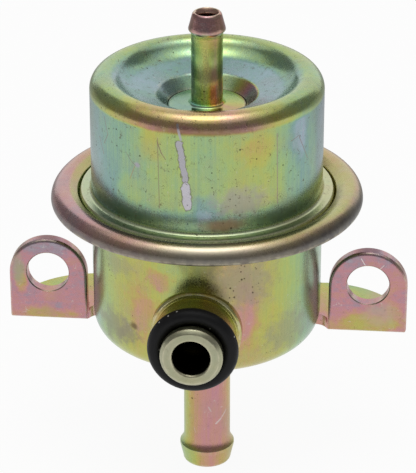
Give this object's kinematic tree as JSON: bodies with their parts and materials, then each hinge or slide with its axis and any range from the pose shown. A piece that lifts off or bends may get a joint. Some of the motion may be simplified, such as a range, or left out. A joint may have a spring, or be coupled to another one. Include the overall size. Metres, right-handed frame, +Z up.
{
  "type": "fuel pressure regulator",
  "caption": "Crimped two-cup fuel pressure regulator with a side inlet spigot and seal ring, a barbed return pipe, a vacuum nipple and bolt ears, holding a sprung diaphragm valve inside.",
  "frame": {"origin": "on the body axis, midway between the two ear holes, in the plane of the ears' front faces and at the height of the inlet axis", "axes": "+Z up the body axis towards the vacuum nipple, -Y along the inlet spigot towards the fuel rail, X along the row of ear holes"},
  "size_m": [0.068, 0.0544, 0.0833],
  "materials": {
    "cap_plating": "yellow chromate over zinc, satin with green and gold film colours",
    "housing_plating": "yellow chromate over zinc, satin with olive and pink film colours",
    "bracket_plating": "yellow chromate over zinc, pink to gold film colours",
    "turned_plating": "yellow chromate over zinc on a turned surface, bright",
    "pipe_plating": "yellow chromate over zinc on drawn tube",
    "seal_rubber": "matte black rubber",
    "diaphragm_rubber": "rubber-coated fabric",
    "bare_steel": "turned and pressed bare steel",
    "spring_steel": "dark oil-tempered spring wire",
    "valve_brass": "turned brass"
  },
  "bodies": {
    "regulator_body": {"spring_cap": "cap_plating", "vacuum_nipple": "turned_plating", "lower_housing": "housing_plating", "mounting_bracket": "bracket_plating", "inlet_spigot": "turned_plating", "inlet_seal_ring": "seal_rubber", "return_pipe": "pipe_plating", "valve_seat": "valve_brass", "diaphragm": "diaphragm_rubber", "pressure_spring": "spring_steel", "upper_spring_seat": "bare_steel"},
    "valve_group": {"valve_plate": "bare_steel", "valve_ball": "bare_steel", "valve_retainer": "valve_brass", "valve_holder": "bare_steel", "diaphragm_washer": "bare_steel", "spring_plate": "bare_steel"}
  },
  "joints": [
    {"name": "valve_lift", "type": "slide", "parent": "regulator_body", "child": "valve_group", "axis": [0, 0, 1], "range_m": [0, 0.0008], "stiffness_N_per_m": 11000, "deforming": ["pressure_spring", "diaphragm"]}
  ]
}
